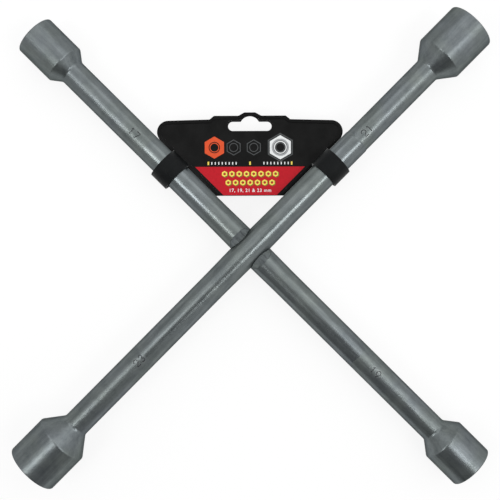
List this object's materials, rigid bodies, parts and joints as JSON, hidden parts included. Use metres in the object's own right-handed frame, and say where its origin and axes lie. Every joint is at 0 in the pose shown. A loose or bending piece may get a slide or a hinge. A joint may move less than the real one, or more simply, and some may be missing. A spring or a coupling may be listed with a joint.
{
  "type": "lug wrench",
  "caption": "Four-way wheel brace: crossed round steel bars with a hexagon socket on each end, and a black retail hanger strapped between two arms.",
  "frame": {"origin": "on the resting plane, below the middle of the overall box; the crossing of the bars is 2 mm towards -X and 1 mm towards -Y of it, and 17.75 mm up", "axes": "+Z is the front side, which carries the size stamps and the printed label; the rear bar lies along X with the 19 mm socket at +X, the front bar along Y with the 21 mm socket at +Y, and the hanger stands between the -X and +Y arms"},
  "size_m": [0.355, 0.355, 0.0377],
  "materials": {
    "bar_steel": "satin silver, slightly green grey, with a soft mottle",
    "socket_steel": "satin silver over a forged surface",
    "weld_steel": "satin silver over weld metal",
    "plate_plastic": "black, moulded",
    "label_print": "black printed card, satin varnish",
    "strap_plastic": "black with a faint blue cast, moulded",
    "cap_plastic": "black, moulded"
  },
  "bodies": {
    "root": {"rear_bar": "bar_steel", "front_bar": "bar_steel", "socket_17mm": "socket_steel", "socket_19mm": "socket_steel", "socket_21mm": "socket_steel", "socket_23mm": "socket_steel", "butt_weld_17mm": "weld_steel", "butt_weld_19mm": "weld_steel", "butt_weld_21mm": "weld_steel", "butt_weld_23mm": "weld_steel", "crossing_weld_17mm_side": "weld_steel", "crossing_weld_19mm_side": "weld_steel", "crossing_weld_21mm_side": "weld_steel", "crossing_weld_23mm_side": "weld_steel", "hanger_plate": "plate_plastic", "printed_label": "label_print", "strap_left": "strap_plastic", "strap_right": "strap_plastic", "snap_cap_left": "cap_plastic", "snap_cap_right": "cap_plastic"}
  },
  "joints": []
}
